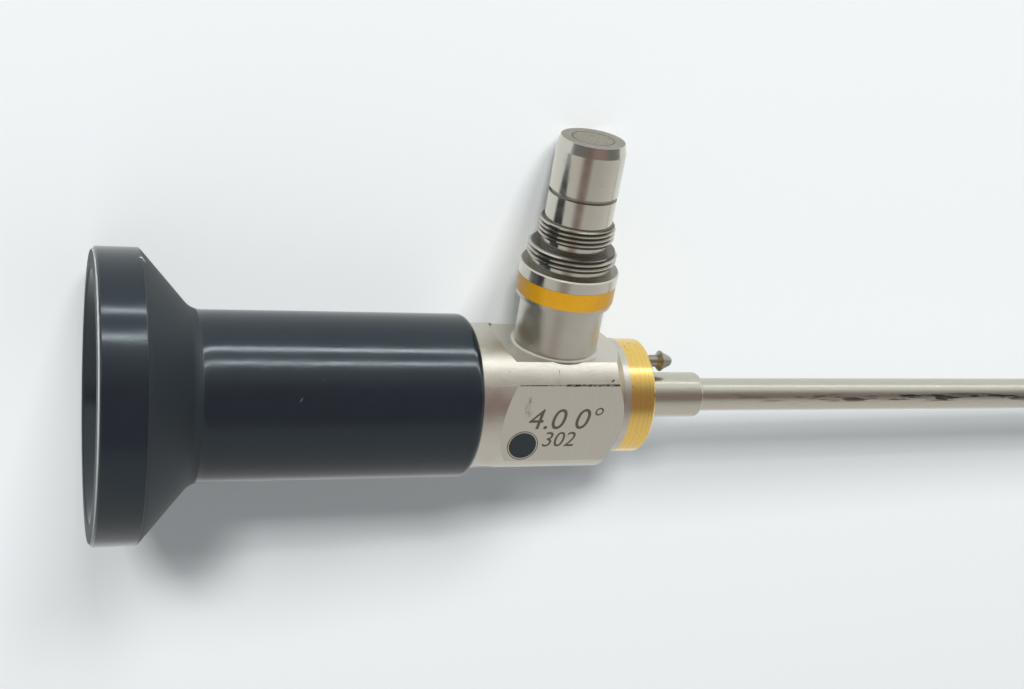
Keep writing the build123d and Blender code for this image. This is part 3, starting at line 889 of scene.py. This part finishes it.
# %% [markdown]
# ## Light
#
# Two soft lamps from the post's side throw the shadows: one stands higher and draws the dark core,
# one stands lower and draws the long half-shadow. Thin strips near the table draw the bright lines
# along the telescope. Each strip is linked to the pieces it is meant for, because steel shows a lamp
# ten times stronger than black plastic does.

# %% Lamps
def lamp(name, place, target, size, watts):
    """A rectangular lamp at a place, turned to a target, that the camera doesn't see."""
    data = bpy.data.lights.new(name, "AREA")
    data.shape = "RECTANGLE"
    data.size, data.size_y = size
    data.energy = watts
    piece = bpy.data.objects.new(name, data)
    piece.location = place
    piece.rotation_euler = (Vector(target) - Vector(place)).to_track_quat("-Z", "Y").to_euler()
    piece.visible_camera = False
    bpy.context.scene.collection.objects.link(piece)
    return piece


centre = Vector((-0.12, -0.01, 0.01))     # metres, like every place and size of a lamp
far = 3.0


def soft_lamp(name, height, turn, size, watts):
    """A lamp at a height angle over the table, turned towards the tip by an angle."""
    height, turn = math.radians(height), math.radians(turn)
    level = math.cos(height)
    toward = Vector((math.sin(turn) * level, math.cos(turn) * level, math.sin(height)))
    piece = lamp(name, centre + toward * far, centre, size, watts)
    piece.visible_glossy = False
    return piece


def strip(name, pieces, middle_of, reach_to_side, length, thickness, watts):
    """A thin strip over the table that shows only as a highlight on the pieces named."""
    x, y, z = middle_of
    piece = lamp(name, (x, y, z), (x, y - reach_to_side, z), (length, thickness), watts)
    piece.visible_diffuse = False
    lit = bpy.data.collections.new("lit by " + name)
    for node in pieces:
        lit.objects.link(nodes[node])
    piece.light_linking.receiver_collection = lit
    return piece


soft_lamp("high_lamp", 29, -16, (0.4, 0.28), 66.0)
soft_lamp("low_lamp", 23, 2, (0.7, 0.5), 73.0)
strip("far_strip", ["eyecup"], (-0.12, 0.4, 0.004), 1, 1.0, 0.006, 1.0)
strip("grip_strip", ["eyecup"], (-0.139, 0.0384, 0.002), 1, 0.06, 0.002, 0.0085)
strip("rim_strip", ["eyecup"], (-0.181, 0.0445, 0.002), 1, 0.024, 0.002, 0.0026)
strip("body_strip", ["body", "index_ring"], (-0.09, 0.075, 0.004), 1, 0.12, 0.006, 0.012)
strip("tube_strip", ["shaft_hub", "outer_tube"], (0.04, 0.024, 0.003), 1, 0.4, 0.002, 0.006)
print("lamps:", [item.name for item in bpy.data.lights])

# %% [markdown]
# ## Room
#
# Polished steel is a picture of the room, so the room matters more than the lamps: bright at the
# horizon in front, dark where the photographer leans over the table, and pale behind. The heights
# are angles over the zenith, from the horizon beyond the telescope at 0 to the one behind at 180.
# Camera, mirror and glass rays see this room, and diffuse light gets an even, dimmer share of it.

# %% The room
world = bpy.data.worlds.new("pale room")
world.use_nodes = True
bpy.context.scene.world = world
tree = world.node_tree
direction = add(tree, "ShaderNodeTexCoord").outputs["Generated"]
parts = add(tree, "ShaderNodeSeparateXYZ", {"Vector": direction}).outputs
turn = add(tree, "ShaderNodeMath", {0: parts["Z"], 1: parts["Y"]}, operation="ARCTAN2").outputs[0]
over = add(tree, "ShaderNodeMath", {0: turn, 1: math.pi}, operation="DIVIDE").outputs[0]
ramp = add(tree, "ShaderNodeValToRGB", {"Fac": over})
levels = {0: 1.0, 15: 0.66, 29: 0.39, 44: 0.24, 58: 0.19, 70: 0.24,
          82: 0.46, 94: 0.6, 106: 0.64, 130: 0.7, 180: 0.72}
warmth = (1, 0.985, 0.96)
even_light = (0.25, 0.256, 0.262, 1)
stops = ramp.color_ramp.elements
while len(stops) < len(levels):
    stops.new(0.5)
for stop, (degrees, level) in zip(stops, levels.items()):
    stop.position = degrees / 180
    stop.color = (*(level * share for share in warmth), 1)


def patch(below, toward, inner, outer, colour):
    """Lay a soft round patch over the room, round a direction, between two angles in degrees."""
    nearness = add(tree, "ShaderNodeVectorMath", {
        0: direction, 1: Vector(toward).normalized(),
    }, operation="DOT_PRODUCT").outputs["Value"]
    edge, core = (math.cos(math.radians(angle)) for angle in (outer, inner))
    cover = add(tree, "ShaderNodeMapRange", {
        "Value": nearness, "From Min": edge, "From Max": core,
    }, interpolation_type="SMOOTHSTEP").outputs["Result"]
    return add(tree, "ShaderNodeMix", {
        "Factor": cover, "A": below, "B": colour,
    }, data_type="RGBA").outputs[2]


# Two warm patches over the table stand for the photographer's clothes and hands.
room = patch(ramp.outputs["Color"], (0.15, 0.57, 0.81), 8, 34, (0.33, 0.24, 0.23, 1))
room = patch(room, (-0.4, 0.2, 0.9), 8, 25, (0.22, 0.16, 0.14, 1))
rays = add(tree, "ShaderNodeLightPath").outputs
seen = strongest(tree, [rays["Is Camera Ray"], rays["Is Glossy Ray"], rays["Is Transmission Ray"]])
tree.links.new(add(tree, "ShaderNodeMix", {
    "Factor": seen, "A": even_light, "B": room,
}, data_type="RGBA").outputs[2], tree.nodes["Background"].inputs["Color"])
bpy.context.scene.view_settings.view_transform = "Standard"
print("room:", world.name, "with", len(levels), "levels")
